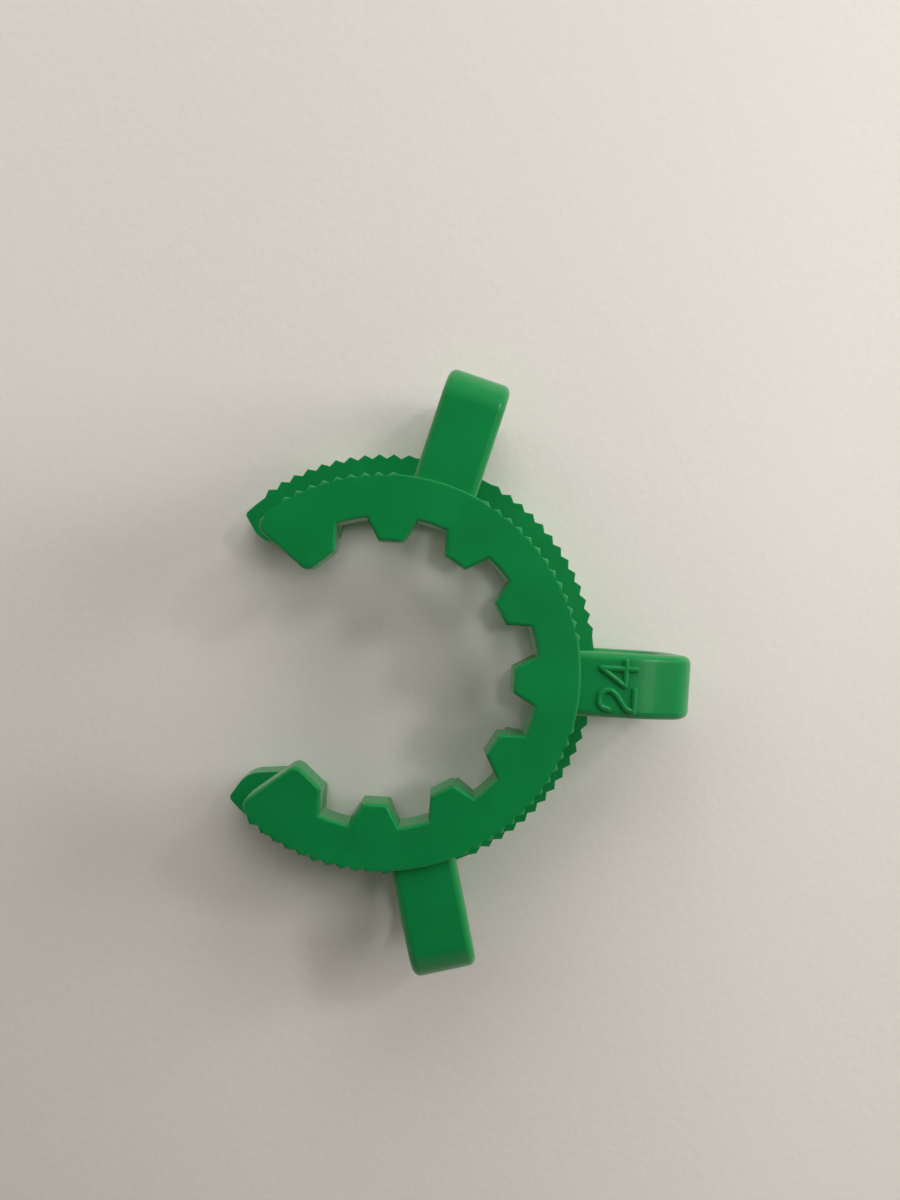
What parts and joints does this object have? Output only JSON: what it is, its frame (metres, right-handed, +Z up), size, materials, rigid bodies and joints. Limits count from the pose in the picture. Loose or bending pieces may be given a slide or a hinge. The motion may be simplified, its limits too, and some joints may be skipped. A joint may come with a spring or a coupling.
{
  "type": "ground glass joint clip",
  "caption": "One-piece plastic clip with two toothed open rings joined by spring loops, to hold a tapered ground glass joint together.",
  "frame": {"origin": "middle of the part's box, on the plane that the large ring rests on", "axes": "+X towards the middle spring loop, away from the mouth of the rings; +Y across, along the longest extent; +Z up the ring axis, from the large ring to the small ring"},
  "size_m": [0.044, 0.0572, 0.0133],
  "materials": {
    "green_acetal": "moulded green acetal, half gloss"
  },
  "bodies": {
    "root": {"joint_clip": "green_acetal"}
  },
  "joints": []
}
